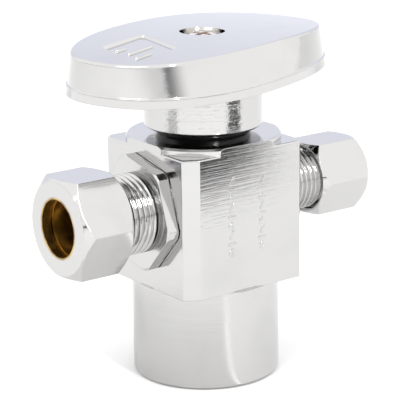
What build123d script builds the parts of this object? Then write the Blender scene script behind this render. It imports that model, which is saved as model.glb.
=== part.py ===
from build123d import *
import math
import os

# Dual-outlet quarter-turn angle stop valve, in millimetres.
# +Z runs up the inlet and stem axis from the end of the inlet barrel (z = 0).
# The large outlet points along -X and the small outlet along +X.

# Inlet barrel, for a 1/2 inch pipe thread
barrel_r = 13.0
barrel_edge = 0.5
inlet_thread_r = 9.4
inlet_thread_length = 14.0
inlet_passage_r = 4.2

# Block, cut from a square bar
block_half_x = 12.65
block_half_y = 12.4
block_bottom_z = 17.4
block_shelf_z = 42.05
near_corner_left = 1.5
near_corner_front = 2.7
block_chamfer = 1.2
block_edge_r = 0.35
mark_columns = ((-3.3, 24.6, 37.2), (3.25, 24.8, 36.4))
marks_per_column = 9
mark_length = 1.7
mark_width = 0.42
mark_height = 0.11
disc_r = 13.6
disc_top_z = 43.2

# Outlet axis and ball chamber
outlet_z = 31.1
ball_r = 7.0
ball_port_r = 3.9
seat_gap = 0.06
chamber_r = 8.05
chamber_end_x = 8.05
seat_r = 8.0
seat_hole_r = 4.2
seat_inner_x = 4.9
seat_back_x = 7.7
slot_half_width = 1.6
slot_depth = 2.3

# Large outlet connector, for a 3/8 inch tube
connector_flat_width = 18.2
connector_corner_r = 10.15
connector_turn_deg = 18.0
flange_thickness = 2.3
flange_gap = 0.15
flange_neck_r = 8.9
shank_r = 9.5
shank_end_x = 9.0
nose_r = 7.9
gasket_shoulder_x = 8.6
large_thread_r = 7.0
large_spigot_length = 9.2
large_passage_r = 3.9
large_tube_r = 4.8

# Small outlet, for a 1/4 inch tube
small_collar_r = 6.4
small_collar_length = 1.0
small_thread_r = 5.5
small_spigot_length = 12.2
small_passage_r = 2.5
small_tube_r = 3.22

# Threads on the outlets
thread_pitch = 1.058
thread_depth = 0.55
thread_clearance = 0.05

# Compression nuts
large_nut_flat_width = 16.8
large_nut_face_x = 30.46
large_nut_length = 9.82
large_nut_turn_deg = 31.3
small_nut_flat_width = 13.0
small_nut_face_x = 32.9
small_nut_length = 11.0
small_nut_turn_deg = 30.0
nut_chamfer_drop = 1.3
nut_wall_at_tube = 1.7

# Bonnet and its seal
bonnet_r = 10.4
bonnet_bottom_z = 44.6
bonnet_top_z = 52.8
bonnet_shank_r = 7.5
bonnet_shank_bottom_z = 40.3
bonnet_bore_r = 4.0
bonnet_gasket_r = 8.4
thread_fit = 0.05
stop_lug_inner_r = 6.6
stop_lug_outer_r = 9.4
stop_lug_height = 1.3

# Stem
stem_r = 3.95
stem_bottom_z = 36.1
stem_flange_r = 4.6
stem_flange_z = 38.35
stem_flange_top_z = 39.65
thrust_washer_r = 6.8
stem_neck_z = 52.6
stem_square = 5.0
stem_top_z = 56.2
oring_section = 1.5
lower_oring_z = 43.4
upper_oring_z = 47.9
oring_inner_r = 2.75

# Handle
handle_turn_deg = 20.0
handle_half_length = 27.7
handle_half_width = 17.0
handle_exponent = 2.38
top_half_length = 27.5
top_half_width = 15.6
top_exponent = 2.38
handle_crown_z = 60.87
handle_arch_r = 365.0
handle_arch_x = -6.0
handle_centre_x = -0.95
handle_bead_z = 54.8
handle_rim_z = 53.3
handle_lip = 0.4
handle_bead_r = 0.28
handle_edge_r = 0.5
handle_wall = 1.7
handle_hub_r = 6.2
handle_hub_bottom_z = 52.95
recess_r = 3.97
recess_floor_z = 57.75
panel_centre_x = -16.8
panel_corners = ((-2.4, 6.8), (8.6, 6.8), (2.6, -4.2), (-8.4, -4.2))
panel_corner_r = 0.5
panel_depth = 0.5
panel_draft_deg = 42.0
panel_bars = ((-1.6, 4.0, 3.0), (-0.2, 1.0, 7.0), (-3.6, -2.0, 4.6))
panel_bar_width = 0.7
panel_bar_height = 0.3
stop_tab_deg = 30.0
quarter_turn_deg = 90.0
stop_gap_deg = 0.6
oval_points = 40

# Handle screw
screw_r = 1.75
screw_hole_r = 1.95
screw_bottom_z = 48.8
screw_head_r = 3.35
screw_head_height = 2.05
lock_washer_height = 0.7
lock_washer_r = 3.1
lock_washer_split = 0.5
cross_width = 1.0
cross_length = 3.6
cross_depth = 1.1


def turned(profile):
    """Solid of revolution about Z from (radius, height) corners."""
    outline = Polyline(*[(radius, 0, height) for radius, height in profile], close=True)
    return revolve(make_face(outline), Axis.Z, 360)


def ring(outer, inner, low, high):
    """Plain ring about Z between two heights."""
    return turned([(inner, low), (outer, low), (outer, high), (inner, high)])


def rod(radius, low, high):
    """Plain cylinder about Z between two heights."""
    return turned([(0, low), (radius, low), (radius, high), (0, high)])


def to_left(shape):
    """Turn a shape made about +Z so that it points along -X on the outlet axis."""
    return Pos(0, 0, outlet_z) * Rot(0, -90, 0) * shape


def to_right(shape):
    """Turn a shape made about +Z so that it points along +X on the outlet axis."""
    return Pos(0, 0, outlet_z) * Rot(0, 90, 0) * shape


def hexagon(flat_width, low, high, turn_deg):
    """Hexagonal prism about Z."""
    sketch = RegularPolygon(flat_width / 2, 6, major_radius=False, rotation=turn_deg)
    return extrude(Pos(0, 0, low) * sketch, high - low)


def threaded_profile(radius, start, end):
    """Outer (radius, height) corners of a thread drawn as rings of V grooves."""
    corners = []
    height = start
    while height + thread_pitch <= end:
        corners.append((radius, height + 0.1 * thread_pitch))
        corners.append((radius - thread_depth, height + 0.5 * thread_pitch))
        corners.append((radius, height + 0.9 * thread_pitch))
        height += thread_pitch
    return corners


def oval_wire(half_length, half_width, exponent, height):
    """Superellipse outline in the handle's own frame, long axis on X."""
    points = []
    for step in range(oval_points):
        angle = 2 * math.pi * step / oval_points
        x = half_length * math.copysign(abs(math.cos(angle)) ** (2 / exponent), math.cos(angle))
        y = half_width * math.copysign(abs(math.sin(angle)) ** (2 / exponent), math.sin(angle))
        points.append((handle_centre_x + x, y, height))
    return Wire([Spline(*points, periodic=True)])


def arch_centre_z():
    """Height of the arch's axis, so that the arch meets the crown height over the stem."""
    return handle_crown_z - math.sqrt(handle_arch_r**2 - handle_arch_x**2)


def arched_block(radius):
    """Lying cylinder whose crown shapes the top of the handle."""
    return Pos(handle_arch_x, 0, arch_centre_z()) * Rot(90, 0, 0) * Cylinder(radius, 6 * handle_half_width)


def block():
    """Square bar with three small chamfers and a wide one at the near corner, rounded except underneath."""
    left = -block_half_x
    front = -block_half_y
    corners = [
        (left, front + near_corner_left),
        (left + near_corner_front, front),
        (block_half_x - block_chamfer, front),
        (block_half_x, front + block_chamfer),
        (block_half_x, -front - block_chamfer),
        (block_half_x - block_chamfer, -front),
        (left + block_chamfer, -front),
        (left, -front - block_chamfer),
    ]
    outline = make_face(Polyline(*corners, close=True))
    shape = extrude(Pos(0, 0, block_bottom_z) * outline, block_shelf_z - block_bottom_z)
    upper_edges = shape.edges().filter_by(lambda edge: edge.center().Z > block_bottom_z + 1)
    return fillet(upper_edges, block_edge_r)


def valve_body():
    """Square block with casting marks, the inlet barrel below, the disc on top and the small outlet."""
    disc = turned([
        (0, block_shelf_z - 2),
        (disc_r, block_shelf_z - 2),
        (disc_r, disc_top_z - block_edge_r),
        (disc_r - block_edge_r, disc_top_z),
        (0, disc_top_z),
    ])
    disc &= Pos(0, 0, block_shelf_z) * Box(2 * block_half_x, 2 * block_half_y, 10)
    barrel = turned([
        (0, 0),
        (barrel_r - barrel_edge, 0),
        (barrel_r, barrel_edge),
        (barrel_r, block_bottom_z),
        (0, block_bottom_z),
    ])
    shape = block() + disc + barrel + small_outlet_spigot() + cast_marks()
    shape -= rod(inlet_thread_r, -1, inlet_thread_length)
    shape -= rod(inlet_passage_r, 0, outlet_z)
    shape -= to_left(rod(chamber_r, -chamber_end_x, block_half_x))
    shape -= to_left(rod(shank_r + thread_fit, gasket_shoulder_x, block_half_x + 1))
    shape -= rod(bonnet_shank_r + thread_fit, outlet_z, disc_top_z + 1)
    return shape


def cast_marks():
    """Two columns of plain raised casting marks, bars and rings in turn, on the block's front face."""
    marks = []
    for column_x, low, high in mark_columns:
        pitch = (high - low) / (marks_per_column - 1)
        for index in range(marks_per_column):
            if index % 3 == 0:
                outline = Circle(mark_length / 2.6) - Circle(mark_length / 2.6 - mark_width)
            else:
                outline = SlotOverall(mark_length, mark_width, rotation=60 * (index % 3) - 60)
            mark = Plane.XZ * extrude(outline, mark_height)
            marks.append(Pos(column_x, -block_half_y, low + index * pitch) * mark)
    return marks


def small_outlet_spigot():
    """Threaded spigot for the small tube, with its socket and its 45 degree ferrule seat."""
    start = block_half_x - 1
    end = block_half_x + small_spigot_length
    outer = [(0, start), (small_collar_r, start), (small_collar_r, block_half_x + small_collar_length)]
    outer += threaded_profile(small_thread_r, block_half_x + small_collar_length, end - 0.4)
    outer += [(small_thread_r - 0.4, end), (0, end)]
    return to_right(turned(outer))


def small_outlet_bore():
    """Passage, tube socket and ferrule seat of the small outlet."""
    end = block_half_x + small_spigot_length
    seat_depth = 1.3
    return to_right(turned([
        (0, ball_r / 2),
        (small_passage_r, ball_r / 2),
        (small_passage_r, end - 6.0),
        (small_tube_r, end - 6.0),
        (small_tube_r, end - seat_depth),
        (small_tube_r + seat_depth, end),
        (small_tube_r + seat_depth, end + 1),
        (0, end + 1),
    ]))


def bored_valve_body():
    """Valve body with the small outlet's bore cut through."""
    return valve_body() - small_outlet_bore()


def large_outlet_connector():
    """Hexagon-flanged connector that screws into the block and takes the large tube."""
    front = block_half_x + flange_thickness
    end = front + large_spigot_length
    seat_depth = 1.4
    shank = rod(shank_r, shank_end_x, block_half_x) + rod(nose_r, chamber_end_x, shank_end_x)
    flange = hexagon(connector_flat_width, block_half_x, front, connector_turn_deg)
    flange_round = turned([
        (0, block_half_x),
        (flange_neck_r, block_half_x),
        (flange_neck_r, block_half_x + flange_gap),
        (connector_corner_r, block_half_x + flange_gap),
        (connector_corner_r, front - 0.25),
        (connector_corner_r - 0.35, front),
        (0, front),
    ])
    outer = [(0, front - 0.5), (large_thread_r - thread_depth, front - 0.5), (large_thread_r - thread_depth, front)]
    outer += threaded_profile(large_thread_r, front + 0.2, end - 0.4)
    outer += [(large_thread_r - 0.4, end), (0, end)]
    spigot = turned(outer)
    bore = turned([
        (0, chamber_end_x - 1),
        (large_passage_r, chamber_end_x - 1),
        (large_passage_r, end - 7.0),
        (large_tube_r, end - 7.0),
        (large_tube_r, end - seat_depth),
        (large_tube_r + seat_depth, end),
        (large_tube_r + seat_depth, end + 1),
        (0, end + 1),
    ])
    return to_left(shank + (flange & flange_round) + spigot - bore)


def connector_gasket():
    """Fibre ring between the end of the connector's shank and the shoulder in the block."""
    return to_left(ring(shank_r - 0.1, chamber_r + 0.1, gasket_shoulder_x + 0.02, shank_end_x - 0.02))


def ball():
    """Ball with a through port on X, a bottom port and the stem's slot."""
    shape = Pos(0, 0, outlet_z) * Sphere(ball_r)
    shape -= to_right(rod(ball_port_r, -ball_r - 1, ball_r + 1))
    shape -= rod(ball_port_r, outlet_z - ball_r - 1, outlet_z)
    slot_bottom = outlet_z + ball_r - slot_depth
    shape -= Pos(0, 0, slot_bottom) * Box(
        2 * slot_half_width, 4 * ball_r, 2 * slot_depth, align=(Align.CENTER, Align.CENTER, Align.MIN)
    )
    return Pos(0, 0, outlet_z) * Rot(0, 0, handle_turn_deg) * Pos(0, 0, -outlet_z) * shape


def ball_seat():
    """Plastic seat ring about Z with a hollow spherical face towards the ball."""
    return ring(seat_r, seat_hole_r, seat_inner_x, seat_back_x) - Sphere(ball_r + seat_gap)


def seat_backing_ring():
    """Rubber ring that pushes a seat against the ball."""
    return ring(seat_r - 0.1, seat_hole_r + 0.9, seat_back_x + 0.02, seat_back_x + 0.32)


def bonnet():
    """Round bonnet with a threaded shank, the stem's bore and the quarter-turn stop lug."""
    shape = turned([
        (bonnet_bore_r, bonnet_shank_bottom_z),
        (bonnet_shank_r, bonnet_shank_bottom_z),
        (bonnet_shank_r, bonnet_bottom_z),
        (bonnet_r - 0.4, bonnet_bottom_z),
        (bonnet_r, bonnet_bottom_z + 0.4),
        (bonnet_r, bonnet_top_z),
        (bonnet_bore_r, bonnet_top_z),
    ])
    window_deg = quarter_turn_deg + stop_tab_deg + 2 * stop_gap_deg
    lug = ring(stop_lug_outer_r, stop_lug_inner_r, bonnet_top_z - 0.5, bonnet_top_z + stop_lug_height)
    window_start = -stop_gap_deg - stop_tab_deg / 2
    lug -= Rot(0, 0, window_start) * sector(stop_lug_outer_r + 2, window_deg, bonnet_top_z, bonnet_top_z + 4)
    return shape + lug


def sector(radius, sweep_deg, low, high):
    """Wedge about Z that starts on the long axis of the outlets and sweeps anticlockwise."""
    count = 12
    rim = []
    for step in range(count + 1):
        angle = math.radians(sweep_deg * step / count)
        rim.append((radius * math.cos(angle), radius * math.sin(angle), low))
    outline = Polyline((0, 0, low), *rim, close=True)
    return extrude(make_face(outline), high - low, dir=(0, 0, 1))


def bonnet_gasket():
    """Rubber ring squeezed between the bonnet's flange and the disc of the body."""
    section = (bonnet_bottom_z - disc_top_z) / 2
    middle = disc_top_z + section
    edge = 0.35
    return turned([
        (bonnet_shank_r + 0.02, disc_top_z),
        (bonnet_gasket_r - edge, disc_top_z),
        (bonnet_gasket_r, middle),
        (bonnet_gasket_r - edge, bonnet_bottom_z),
        (bonnet_shank_r + 0.02, bonnet_bottom_z),
    ])


def thrust_washer():
    """Slippery washer between the stem's flange and the bonnet."""
    return ring(thrust_washer_r, stem_r + 0.1, bonnet_shank_bottom_z - 0.6, bonnet_shank_bottom_z)


def stem():
    """Stem with its tang, blow-out flange, two O-ring grooves and square drive."""
    groove = oring_section + 0.2
    shaft = turned([
        (0, stem_flange_z),
        (stem_flange_r, stem_flange_z),
        (stem_flange_r, stem_flange_top_z),
        (stem_r, stem_flange_top_z),
        (stem_r, lower_oring_z - groove / 2),
        (oring_inner_r, lower_oring_z - groove / 2),
        (oring_inner_r, lower_oring_z + groove / 2),
        (stem_r, lower_oring_z + groove / 2),
        (stem_r, upper_oring_z - groove / 2),
        (oring_inner_r, upper_oring_z - groove / 2),
        (oring_inner_r, upper_oring_z + groove / 2),
        (stem_r, upper_oring_z + groove / 2),
        (stem_r, stem_neck_z),
        (0, stem_neck_z),
    ])
    square = Pos(0, 0, stem_neck_z - 0.5) * Box(
        stem_square, stem_square, stem_top_z - stem_neck_z + 0.5, align=(Align.CENTER, Align.CENTER, Align.MIN)
    )
    tang_width = 2 * slot_half_width - 0.2
    tang = Pos(0, 0, stem_bottom_z) * Box(
        tang_width, 2 * stem_r, stem_flange_z - stem_bottom_z + 0.5, align=(Align.CENTER, Align.CENTER, Align.MIN)
    )
    shape = shaft + square + (tang & rod(stem_flange_r - 0.2, stem_bottom_z, stem_flange_z + 0.5))
    shape -= rod(screw_r, screw_bottom_z, stem_top_z + 1)
    return Rot(0, 0, handle_turn_deg) * shape


def stem_oring(height):
    """Rubber O-ring in a groove of the stem."""
    middle_r = oring_inner_r + oring_section / 2 - 0.14
    section_r = oring_section / 2 - 0.16
    circle = Pos(middle_r, 0, height) * (Plane.XZ * Circle(section_r))
    return revolve(circle, Axis.Z, 360)


def handle_wall_block(inset, low):
    """Drafted oval block under the arched top, set in from the outside by a wall thickness."""
    base = oval_wire(handle_half_length - inset, handle_half_width - inset, handle_exponent, low)
    top = oval_wire(top_half_length - inset, top_half_width - inset, top_exponent, handle_crown_z + 1)
    return Solid.make_loft([base, top], True) & arched_block(handle_arch_r - inset)


def handle_shell():
    """Oval shell with a drafted wall, a rounded top edge, and a thin bead above a flared lip."""
    outer = handle_wall_block(0, handle_bead_z)
    top_edges = outer.edges().filter_by(lambda edge: edge.center().Z > handle_bead_z + 1)
    outer = fillet(top_edges, handle_edge_r)
    lip_low = oval_wire(handle_half_length + handle_lip, handle_half_width + handle_lip, handle_exponent, handle_rim_z)
    lip_high = oval_wire(handle_half_length, handle_half_width, handle_exponent, handle_bead_z)
    lip = Solid.make_loft([lip_low, lip_high], True)
    bead_wires = []
    root = -0.4 * handle_bead_r
    for rise, proud in ((-handle_bead_r, root), (0, handle_bead_r), (handle_bead_r, root)):
        half_length = handle_half_length + proud
        half_width = handle_half_width + proud
        bead_wires.append(oval_wire(half_length, half_width, handle_exponent, handle_bead_z + rise))
    bead = Solid.make_loft(bead_wires, True)
    return outer + lip + bead - handle_wall_block(handle_wall, handle_rim_z - 0.01)


def handle_panel():
    """Slanted four-sided cutter, tangent to the arched top, with drafted walls and plain raised bars."""
    outline = fillet(make_face(Polyline(*panel_corners, close=True)).vertices(), panel_corner_r)
    cutter = extrude(outline, 2 * panel_depth, taper=-panel_draft_deg)
    for centre_x, centre_y, length in panel_bars:
        bar = Pos(centre_x, centre_y) * SlotOverall(length, panel_bar_width)
        cutter -= extrude(bar, panel_bar_height, taper=panel_draft_deg / 2)
    reach = panel_centre_x - handle_arch_x
    tilt_deg = math.degrees(math.asin(reach / handle_arch_r))
    surface_z = arch_centre_z() + handle_arch_r * math.cos(math.radians(tilt_deg))
    return Pos(panel_centre_x, 0, surface_z - panel_depth) * Rot(0, tilt_deg, 0) * cutter


def handle():
    """Hollow oval handle with its hub, square socket, screw recess, panel and stop tab."""
    hub_top_z = handle_crown_z - handle_wall / 2
    shape = handle_shell() + rod(handle_hub_r, handle_hub_bottom_z, hub_top_z)
    tab_low = bonnet_top_z + 0.3
    tab = ring(stop_lug_outer_r - 0.1, handle_hub_r - 0.4, tab_low, hub_top_z)
    tab &= Rot(0, 0, -stop_tab_deg / 2) * sector(stop_lug_outer_r + 2, stop_tab_deg, tab_low, hub_top_z)
    shape += tab
    shape -= rod(recess_r, recess_floor_z, handle_crown_z + 1)
    shape -= handle_panel()
    shape -= rod(screw_hole_r, stem_neck_z, handle_crown_z)
    socket = stem_square + 0.1
    shape -= Pos(0, 0, stem_neck_z - 1) * Box(
        socket, socket, stem_top_z - stem_neck_z + 1.1, align=(Align.CENTER, Align.CENTER, Align.MIN)
    )
    return Rot(0, 0, handle_turn_deg) * shape


def handle_screw():
    """Pan-head screw with a cross recess."""
    head_low = recess_floor_z + lock_washer_height
    head_high = head_low + screw_head_height
    shape = turned([
        (0, screw_bottom_z + 0.4),
        (screw_r - 0.1, screw_bottom_z + 0.4),
        (screw_r - 0.1, head_low),
        (screw_head_r, head_low),
        (screw_head_r, head_low + 0.9),
        (screw_head_r - 0.5, head_high - 0.45),
        (screw_head_r - 1.4, head_high - 0.08),
        (0, head_high),
    ])
    for turn_deg in (0, 90):
        bar = Box(cross_length, cross_width, 2 * cross_depth)
        shape -= Pos(0, 0, head_high) * Rot(0, 0, turn_deg + handle_turn_deg) * bar
    return shape


def lock_washer():
    """Split spring washer under the screw's head."""
    shape = ring(lock_washer_r, screw_hole_r, recess_floor_z, recess_floor_z + lock_washer_height)
    shape -= Pos(lock_washer_r, 0, recess_floor_z) * Box(3 * screw_r, lock_washer_split, 4)
    return shape


def compression_nut(flat_width, face, length, thread_r, tube_r, turn_deg):
    """Hexagon nut about Z, open towards the valve, with a conical front inside and outside."""
    rear = face - length
    corner_r = flat_width / math.sqrt(3)
    flat_r = flat_width / 2
    prism = hexagon(flat_width, rear, face, turn_deg)
    chamfers = turned([
        (0, rear),
        (flat_r - 0.1, rear),
        (corner_r, rear + nut_chamfer_drop),
        (corner_r, face - nut_chamfer_drop),
        (flat_r - 0.3, face),
        (0, face),
    ])
    inner_r = thread_r + thread_clearance
    cone = inner_r - tube_r
    bore = turned([
        (0, rear - 1),
        (inner_r + 0.6, rear - 1),
        (inner_r + 0.6, rear),
        (inner_r, rear + 0.6),
        (inner_r, face - nut_wall_at_tube - cone),
        (tube_r, face - nut_wall_at_tube),
        (tube_r, face + 1),
        (0, face + 1),
    ])
    return (prism & chamfers) - bore


def ferrule(face, spigot_end, thread_r, tube_r):
    """Brass sleeve with a cone at each end, between the tube socket and the nut."""
    gap = 0.08
    back = spigot_end - 0.6
    front = face - nut_wall_at_tube - 0.35
    outer_r = thread_r - 0.7
    return turned([
        (tube_r, back),
        (tube_r + 0.45, back),
        (outer_r, back + (outer_r - tube_r - 0.45) + gap),
        (outer_r, front - (outer_r - tube_r - 0.35)),
        (tube_r + 0.35, front),
        (tube_r, front),
    ])


def large_nut():
    """Compression nut of the large outlet."""
    shape = compression_nut(
        large_nut_flat_width, large_nut_face_x, large_nut_length, large_thread_r, large_tube_r + 0.2, large_nut_turn_deg
    )
    return to_left(shape)


def small_nut():
    """Compression nut of the small outlet."""
    shape = compression_nut(
        small_nut_flat_width, small_nut_face_x, small_nut_length, small_thread_r, small_tube_r + 0.1, small_nut_turn_deg
    )
    return to_right(shape)


def large_ferrule():
    """Ferrule of the large outlet."""
    end = block_half_x + flange_thickness + large_spigot_length
    return to_left(ferrule(large_nut_face_x, end, large_thread_r, large_tube_r))


def small_ferrule():
    """Ferrule of the small outlet."""
    end = block_half_x + small_spigot_length
    return to_right(ferrule(small_nut_face_x, end, small_thread_r, small_tube_r))


pieces = {
    "valve_body": bored_valve_body(),
    "large_outlet_connector": large_outlet_connector(),
    "connector_gasket": connector_gasket(),
    "ball": ball(),
    "ball_seat_left": to_left(ball_seat()),
    "ball_seat_right": to_right(ball_seat()),
    "seat_backing_ring_left": to_left(seat_backing_ring()),
    "seat_backing_ring_right": to_right(seat_backing_ring()),
    "bonnet": bonnet(),
    "bonnet_gasket": bonnet_gasket(),
    "thrust_washer": thrust_washer(),
    "stem": stem(),
    "stem_oring_lower": stem_oring(lower_oring_z),
    "stem_oring_upper": stem_oring(upper_oring_z),
    "handle": handle(),
    "handle_screw": handle_screw(),
    "screw_lock_washer": lock_washer(),
    "compression_nut_large": large_nut(),
    "compression_nut_small": small_nut(),
    "ferrule_large": large_ferrule(),
    "ferrule_small": small_ferrule(),
}

os.makedirs("parts", exist_ok=True)
for name, shape in pieces.items():
    export_step(shape, f"parts/{name}.step")
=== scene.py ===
import math

import bpy
import numpy as np
from mathutils import Matrix, Vector

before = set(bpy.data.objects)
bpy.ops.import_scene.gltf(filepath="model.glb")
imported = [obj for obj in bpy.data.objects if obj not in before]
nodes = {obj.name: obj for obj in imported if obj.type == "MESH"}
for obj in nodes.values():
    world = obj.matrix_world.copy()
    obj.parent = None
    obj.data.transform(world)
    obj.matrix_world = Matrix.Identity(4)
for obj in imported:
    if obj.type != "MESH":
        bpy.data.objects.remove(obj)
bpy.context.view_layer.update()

# Lengths are in millimetres and turned into metres where a mesh, a light or a shader uses them.
MM = 0.001

# Places on the valve where the finish changes
OUTLET_Z = 31.1
BARREL_TOP_Z = 17.2
INLET_BORE_R = 9.6
INLET_BORE_TOP_Z = 30.0
OUTLET_BORE_R = 4.5
CONNECTOR_BORE_R = 5.5
NUT_BORE_R = 5.3
SCREW_CROSS_R = 2.1
SCREW_FACE_Z = 59.9
PLATE_EDGE_R = 0.18


# ---------------------------------------------------------------- shader arithmetic

class Field:
    """A value that changes over a surface: one output socket that takes part in arithmetic."""

    def __init__(self, finish, socket):
        self.finish = finish
        self.socket = socket

    def math(self, operation, *others):
        return self.finish.node("ShaderNodeMath", {"operation": operation}, self, *others)

    def __add__(self, other):
        return self.math("ADD", other)

    def __radd__(self, other):
        return self.math("ADD", other)

    def __sub__(self, other):
        return self.math("SUBTRACT", other)

    def __rsub__(self, other):
        return self.finish.node("ShaderNodeMath", {"operation": "SUBTRACT"}, other, self)

    def __mul__(self, other):
        return self.math("MULTIPLY", other)

    def __rmul__(self, other):
        return self.math("MULTIPLY", other)

    def __pow__(self, other):
        return self.math("POWER", other)

    def above(self, edge, soft):
        """0 below the edge and 1 above it, with a soft step of the given width."""
        return self.finish.node(
            "ShaderNodeMapRange", {"interpolation_type": "SMOOTHSTEP"}, self, edge - soft / 2, edge + soft / 2
        )

    def below(self, edge, soft):
        """1 below the edge and 0 above it, with the same soft step."""
        return 1 - self.above(edge, soft)


class Finish:
    """A node tree under construction, for a material or for the world."""

    def __init__(self, tree):
        self.tree = tree
        self.tree.nodes.clear()

    def node(self, kind, settings, *values, output=0, **named):
        """Add a node: settings first, then its sockets in order, then its sockets by name."""
        made = self.tree.nodes.new(kind)
        for key, value in settings.items():
            setattr(made, key, value)
        for index, value in enumerate(values):
            self.join(made.inputs[index], value)
        for key, value in named.items():
            self.join(made.inputs[key.replace("_", " ")], value)
        return Field(self, made.outputs[output])

    def join(self, socket, value):
        if isinstance(value, Field):
            self.tree.links.new(value.socket, socket)
        elif value is not None:
            socket.default_value = value

    def place(self):
        """Object coordinates of the surface, in metres."""
        return self.node("ShaderNodeTexCoord", {}, output="Object")

    def split(self, vector):
        made = self.tree.nodes.new("ShaderNodeSeparateXYZ")
        self.tree.links.new(vector.socket, made.inputs[0])
        return [Field(self, made.outputs[axis]) for axis in range(3)]

    def noise(self, stretch, detail=3.0, rough=0.55, shift=(0, 0, 0)):
        """Noise whose grain count per metre along X, Y and Z is the stretch."""
        spot = self.node("ShaderNodeMapping", {}, self.place(), Location=shift, Scale=stretch)
        return self.node("ShaderNodeTexNoise", {}, spot, Scale=1.0, Detail=detail, Roughness=rough)

    def mix(self, factor, first, second):
        """Blend of two colours."""
        made = self.tree.nodes.new("ShaderNodeMix")
        made.data_type = "RGBA"
        self.join(made.inputs["Factor"], factor)
        for name, value in (("A", first), ("B", second)):
            socket = [s for s in made.inputs if s.name == name and s.type == "RGBA"][0]
            self.join(socket, value if isinstance(value, Field) else (*value, 1))
        return Field(self, [s for s in made.outputs if s.type == "RGBA"][0])

    def distance_to_axis(self, axis, height=0.0):
        """Distance in metres from a line along X or Z; a line along X runs at the given height."""
        x, y, z = self.split(self.place())
        if axis == "X":
            first, second = y, z - height
        else:
            first, second = x, y
        return (first * first + second * second) ** 0.5


def material(name, build):
    """Make a material and let build(finish) return its surface sockets as a dict."""
    made = bpy.data.materials.new(name)
    made.use_nodes = True
    finish = Finish(made.node_tree)
    sockets = build(finish)
    surface = finish.node("ShaderNodeBsdfPrincipled", {}, **sockets)
    output = finish.tree.nodes.new("ShaderNodeOutputMaterial")
    finish.tree.links.new(surface.socket, output.inputs["Surface"])
    return made


# ---------------------------------------------------------------- finishes

CHROME = (0.56, 0.557, 0.555)
BRASS = (0.62, 0.43, 0.14)
DARK_BRASS = (0.20, 0.12, 0.05)


def plated(finish, rough, rough_change, fine, fine_height, inside=None):
    """Chrome plate over brass. The fine field is the cutter's mark; bare brass shows where inside is 1."""
    cloud = finish.noise((90, 90, 90), detail=4)
    rim = finish.node("ShaderNodeBevel", {"samples": 6}, Radius=PLATE_EDGE_R * MM)
    bump = finish.node("ShaderNodeBump", {}, Strength=1.0, Distance=fine_height, Height=fine, Normal=rim)
    colour = finish.mix(cloud.above(0.62, 0.3), CHROME, [0.94 * c for c in CHROME])
    roughness = rough + rough_change * fine
    if inside is not None:
        stain = finish.noise((400, 400, 400), detail=5)
        brass = finish.mix(stain.above(0.5, 0.4), BRASS, DARK_BRASS)
        colour = finish.mix(inside, colour, brass)
        roughness = roughness + 0.22 * inside
    return {"Base_Color": colour, "Metallic": 1.0, "Roughness": roughness, "Normal": bump}


def body_chrome(finish):
    """Block and barrel: long scratches along the block, fine turned rings on the barrel."""
    x, _, z = finish.split(finish.place())
    barrel = z.below(BARREL_TOP_Z * MM, 0.0004)
    rings = finish.noise((4, 4, 5200), detail=4, rough=0.7)
    scratch = finish.noise((70, 70, 2600), detail=6, rough=0.65)
    wavy = finish.noise((160, 160, 520), detail=3, shift=(3, 1, 0))
    fine = barrel * rings + (1 - barrel) * (0.7 * scratch + 0.3 * wavy)
    inlet = finish.distance_to_axis("Z").below(INLET_BORE_R * MM, 0.0002)
    inlet = inlet * z.below(INLET_BORE_TOP_Z * MM, 0.001)
    outlet = finish.distance_to_axis("X", OUTLET_Z * MM).below(OUTLET_BORE_R * MM, 0.0006) * x.above(0.0, 0.001)
    inside = inlet.math("MAXIMUM", outlet)
    return plated(finish, rough=0.03, rough_change=0.12, fine=fine, fine_height=0.000022, inside=inside)


def connector_chrome(finish):
    """Flanged connector: turned rings across its axis, bare brass in the bore."""
    rings = finish.noise((3800, 6, 6), detail=4)
    inside = finish.distance_to_axis("X", OUTLET_Z * MM).below(CONNECTOR_BORE_R * MM, 0.0006)
    return plated(finish, rough=0.05, rough_change=0.12, fine=rings, fine_height=0.000008, inside=inside)


def nut_chrome(finish):
    """Compression nuts: smooth plate with a faint drawn grain along the bar, bare brass inside."""
    grain = finish.noise((90, 1500, 1500), detail=4)
    inside = finish.distance_to_axis("X", OUTLET_Z * MM).below(NUT_BORE_R * MM, 0.0004)
    return plated(finish, rough=0.04, rough_change=0.08, fine=grain, fine_height=0.000006, inside=inside)


def handle_chrome(finish):
    """Die-cast handle: bright smooth plate with the faintest orange peel and a few hairline marks."""
    peel = finish.noise((420, 420, 420), detail=2)
    hair = finish.noise((60, 900, 60), detail=5, shift=(2, 5, 1))
    fine = 0.7 * peel + 0.3 * hair
    return plated(finish, rough=0.035, rough_change=0.07, fine=fine, fine_height=0.000008)


def bonnet_chrome(finish):
    """Bonnet: rough turned rings broken up by chatter, so reflections look ragged."""
    rings = finish.noise((40, 40, 3400), detail=4)
    chatter = finish.noise((900, 900, 1500), detail=3)
    fine = 0.35 * rings + 0.65 * chatter
    return plated(finish, rough=0.04, rough_change=0.16, fine=fine, fine_height=0.00009)


def rubber(finish):
    """Black rubber with a slight sheen."""
    speck = finish.noise((700, 700, 700), detail=3)
    colour = finish.mix(speck, (0.004, 0.004, 0.004), (0.012, 0.011, 0.011))
    bump = finish.node("ShaderNodeBump", {}, Strength=0.5, Distance=0.00001, Height=speck)
    return {"Base_Color": colour, "Roughness": 0.1 + 0.15 * speck, "Normal": bump}


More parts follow.
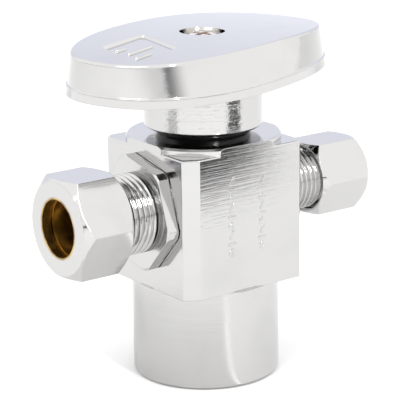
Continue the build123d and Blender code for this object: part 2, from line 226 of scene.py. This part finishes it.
def brass(finish):
    """Turned brass with a little tarnish."""
    rings = finish.noise((3000, 40, 40), detail=4)
    tarnish = finish.noise((300, 300, 300), detail=5)
    colour = finish.mix(tarnish.above(0.5, 0.3), (0.80, 0.60, 0.25), (0.50, 0.33, 0.10))
    bump = finish.node("ShaderNodeBump", {}, Strength=0.6, Distance=0.00001, Height=rings)
    return {"Base_Color": colour, "Metallic": 1.0, "Roughness": 0.16 + 0.16 * rings, "Normal": bump}


def bright_ball(finish):
    """Polished plated ball with hair-fine seat marks."""
    rings = finish.noise((2500, 30, 30), detail=3)
    bump = finish.node("ShaderNodeBump", {}, Strength=0.3, Distance=0.000004, Height=rings)
    colour = finish.mix(rings, (0.86, 0.87, 0.88), (0.80, 0.81, 0.82))
    return {"Base_Color": colour, "Metallic": 1.0, "Roughness": 0.05 + 0.08 * rings, "Normal": bump}


def screw_steel(finish):
    """Zinc-plated screw with brown staining down in its cross."""
    _, _, z = finish.split(finish.place())
    grain = finish.noise((900, 900, 900), detail=5)
    deep = z.below(SCREW_FACE_Z * MM, 0.00035)
    rust = finish.mix(grain.above(0.5, 0.3), (0.20, 0.055, 0.03), (0.36, 0.15, 0.09))
    cross = finish.distance_to_axis("Z").below(SCREW_CROSS_R * MM, 0.0002) * deep
    colour = finish.mix(cross, finish.mix(grain, (0.84, 0.81, 0.78), (0.72, 0.66, 0.62)), rust)
    bump = finish.node("ShaderNodeBump", {}, Strength=0.6, Distance=0.00002, Height=grain)
    return {
        "Base_Color": colour,
        "Metallic": 1 - 0.8 * cross,
        "Roughness": 0.28 + 0.15 * grain + 0.3 * cross,
        "Normal": bump,
    }


def washer_steel(finish):
    """Dull spring steel."""
    grain = finish.noise((1200, 1200, 300), detail=4)
    bump = finish.node("ShaderNodeBump", {}, Strength=0.5, Distance=0.00001, Height=grain)
    colour = finish.mix(grain, (0.45, 0.43, 0.41), (0.62, 0.60, 0.57))
    return {"Base_Color": colour, "Metallic": 1.0, "Roughness": 0.3 + 0.2 * grain, "Normal": bump}


def white_plastic(finish):
    """Slippery white seat plastic with moulding flow marks."""
    flow = finish.noise((260, 260, 260), detail=4)
    bump = finish.node("ShaderNodeBump", {}, Strength=0.3, Distance=0.00001, Height=flow)
    colour = finish.mix(flow, (0.86, 0.86, 0.84), (0.78, 0.78, 0.75))
    return {"Base_Color": colour, "Roughness": 0.38 + 0.12 * flow, "Normal": bump}


def fibre(finish):
    """Brown pressed fibre with flecks."""
    fleck = finish.noise((1500, 500, 1500), detail=6)
    bump = finish.node("ShaderNodeBump", {}, Strength=0.8, Distance=0.00003, Height=fleck)
    colour = finish.mix(fleck.above(0.5, 0.3), (0.23, 0.11, 0.06), (0.42, 0.24, 0.15))
    return {"Base_Color": colour, "Roughness": 0.8 - 0.1 * fleck, "Normal": bump}


FINISH_OF_NODE = {
    body_chrome: ("valve_body",),
    connector_chrome: ("large_outlet_connector",),
    bonnet_chrome: ("bonnet",),
    handle_chrome: ("handle",),
    nut_chrome: ("compression_nut_large", "compression_nut_small"),
    brass: ("ferrule_large", "ferrule_small", "stem"),
    bright_ball: ("ball",),
    rubber: (
        "bonnet_gasket",
        "stem_oring_lower",
        "stem_oring_upper",
        "seat_backing_ring_left",
        "seat_backing_ring_right",
    ),
    white_plastic: ("ball_seat_left", "ball_seat_right", "thrust_washer"),
    fibre: ("connector_gasket",),
    screw_steel: ("handle_screw",),
    washer_steel: ("screw_lock_washer",),
}

for build, names in FINISH_OF_NODE.items():
    finished = material(build.__name__, build)
    for name in names:
        nodes[name].data.materials.clear()
        nodes[name].data.materials.append(finished)


# ---------------------------------------------------------------- camera

CAMERA_AZIMUTH = math.radians(-36.2753)
CAMERA_ELEVATION = math.radians(15.766)
CAMERA_ROLL = math.radians(-0.7571)
CAMERA_DISTANCE = 332.09
CAMERA_LENS = 171.0855
CAMERA_AIM_Z = 40.0
CAMERA_AIM_RIGHT = -0.7449
CAMERA_AIM_UP = -8.9391


def direction(azimuth, elevation):
    """Unit vector towards an azimuth (0 is -Y, growing towards +X) and an elevation, in radians."""
    return np.array([
        math.sin(azimuth) * math.cos(elevation),
        -math.cos(azimuth) * math.cos(elevation),
        math.sin(elevation),
    ])


def make_camera():
    """Long lens that looks slightly down on the near edge of the block."""
    back = direction(CAMERA_AZIMUTH, CAMERA_ELEVATION)
    level = np.cross(-back, (0, 0, 1))
    level /= np.linalg.norm(level)
    upright = np.cross(level, -back)
    aim = np.array([0, 0, CAMERA_AIM_Z]) + CAMERA_AIM_RIGHT * level + CAMERA_AIM_UP * upright
    right = math.cos(CAMERA_ROLL) * level + math.sin(CAMERA_ROLL) * upright
    up = math.cos(CAMERA_ROLL) * upright - math.sin(CAMERA_ROLL) * level
    stand = aim + CAMERA_DISTANCE * back
    camera = bpy.data.objects.new("camera", bpy.data.cameras.new("camera"))
    camera.data.lens = CAMERA_LENS
    camera.data.sensor_width = 36.0
    camera.data.clip_start = 0.01
    camera.data.clip_end = 20.0
    turn = Matrix((right, up, back)).transposed()
    camera.matrix_world = Matrix.Translation(Vector(stand * MM)) @ turn.to_4x4()
    bpy.context.scene.collection.objects.link(camera)
    bpy.context.scene.camera = camera


# ---------------------------------------------------------------- studio

FLOOR_HALF_M = 3.0
FLOOR_GAP = 0.05
CARD_LIFT = 0.3
ARC_POINTS = 25
LIGHT_AIM_Z = 30.0
WORLD_LIGHT = 1.45
COOL_SKY = (0.71, 0.725, 0.80)
WARM_SKY = (1.0, 0.995, 0.985)
DARK_HORIZON = (0.12, 0.12, 0.13)
# Horizontal unit directions: away from the camera, and towards the dark part of the horizon
BEHIND_X, BEHIND_Y = 0.592, 0.806
HORIZON_X, HORIZON_Y = -0.95, -0.31

def card(name, corners, colour, shine=0.0):
    """Flat staged card, in millimetres, that the metal reflects and the camera doesn't see."""
    mesh = bpy.data.meshes.new(name)
    mesh.from_pydata([tuple(MM * np.array(c)) for c in corners], [], [tuple(range(len(corners)))])
    made = bpy.data.objects.new(name, mesh)
    bpy.context.scene.collection.objects.link(made)

    def paint(finish):
        return {
            "Base_Color": (*colour, 1),
            "Roughness": 0.9,
            "Emission_Color": (1, 1, 1, 1),
            "Emission_Strength": shine,
        }

    mesh.materials.append(material(name, paint))
    made.visible_camera = False
    made.visible_shadow = False
    made.visible_diffuse = False


def floor_sector(start_deg, end_deg, inner_r, outer_r):
    """Corners of a ring sector just above the floor, between two azimuths and two radii."""
    sweep = np.radians(np.linspace(start_deg, end_deg, ARC_POINTS))
    ring = np.stack([np.sin(sweep), -np.cos(sweep), np.zeros_like(sweep)], 1)
    lift = np.array([0, 0, CARD_LIFT])
    return np.concatenate([inner_r * ring + lift, outer_r * ring[::-1] + lift])


def softbox(name, azimuth, elevation, distance, size, power):
    """Rectangular area light, placed in degrees and millimetres, that looks at the middle of the valve."""
    aim = np.array([0, 0, LIGHT_AIM_Z])
    back = direction(math.radians(azimuth), math.radians(elevation))
    lamp = bpy.data.lights.new(name, "AREA")
    lamp.shape = "RECTANGLE"
    lamp.size, lamp.size_y = size[0] * MM, size[1] * MM
    lamp.energy = power
    made = bpy.data.objects.new(name, lamp)
    made.location = Vector((aim + distance * back) * MM)
    made.rotation_mode = "QUATERNION"
    made.rotation_quaternion = Vector(-back).to_track_quat("-Z", "Y")
    bpy.context.scene.collection.objects.link(made)


def make_floor():
    """Broad pale floor just under the inlet barrel."""
    half = FLOOR_HALF_M
    mesh = bpy.data.meshes.new("floor")
    corners = [(-half, -half, 0), (half, -half, 0), (half, half, 0), (-half, half, 0)]
    mesh.from_pydata(corners, [], [(0, 1, 2, 3)])
    made = bpy.data.objects.new("floor", mesh)
    made.location.z = -FLOOR_GAP * MM
    bpy.context.scene.collection.objects.link(made)

    def paper(finish):
        grain = finish.noise((60, 60, 60), detail=3)
        colour = finish.mix(grain, (0.77, 0.77, 0.77), (0.79, 0.79, 0.79))
        return {"Base_Color": colour, "Roughness": 0.9}

    mesh.materials.append(material("floor_paper", paper))


def make_world():
    """Pale surroundings: cool low down behind the valve, white overhead and in front, with a dark horizon."""
    world = bpy.data.worlds.new("studio")
    bpy.context.scene.world = world
    world.use_nodes = True
    finish = Finish(world.node_tree)
    toward = finish.node("ShaderNodeTexCoord", {}, output="Generated")
    x, y, z = finish.split(toward)
    behind = (x * BEHIND_X + y * BEHIND_Y).above(0.72, 0.4)
    low = z.below(0.75, 0.9)
    colour = finish.mix(behind * low, WARM_SKY, COOL_SKY)
    front_left = (x * HORIZON_X + y * HORIZON_Y).above(0.35, 0.5)
    colour = finish.mix(z.below(0.05, 0.04) * front_left, colour, DARK_HORIZON)
    light = finish.node("ShaderNodeBackground", {}, colour, WORLD_LIGHT)
    output = finish.tree.nodes.new("ShaderNodeOutputWorld")
    finish.tree.links.new(light.socket, output.inputs["Surface"])


make_camera()
make_floor()
make_world()
softbox("key", azimuth=-80, elevation=50, distance=700, size=(400, 400), power=1.5)
softbox("strip", azimuth=-4, elevation=42, distance=700, size=(40, 260), power=1.5)

# The right-hand card darkens the block's right face, and the others grey the faces turned down and to the left;
# the grey floor card is painted shade on the floor, seen only in reflections.
RIGHT_CARD = ((25, -137, 0), (68, -118, 0), (82, -113, 6), (82, -113, 32), (25, -137, 32))
LEFT_CARD = ((-200, -15, 0), (-190, 55, 0), (-190, 55, 22), (-200, -15, 22))
BARREL_CLEAR_R = 13.4
card("dark_card_right", RIGHT_CARD, (0.01, 0.01, 0.01))
card("grey_card_left", LEFT_CARD, (0.25, 0.25, 0.25))
# Painted floor shade: a grey sheet just above the floor that only the metal's reflections show.
card("floor_shade_card", floor_sector(-12, -172, BARREL_CLEAR_R, 56), (0.66, 0.66, 0.655))
card("white_card_floor", floor_sector(-7.0, -10.0, BARREL_CLEAR_R, 60), (1, 1, 1), 0.15)
bpy.context.scene.view_settings.view_transform = "Standard"
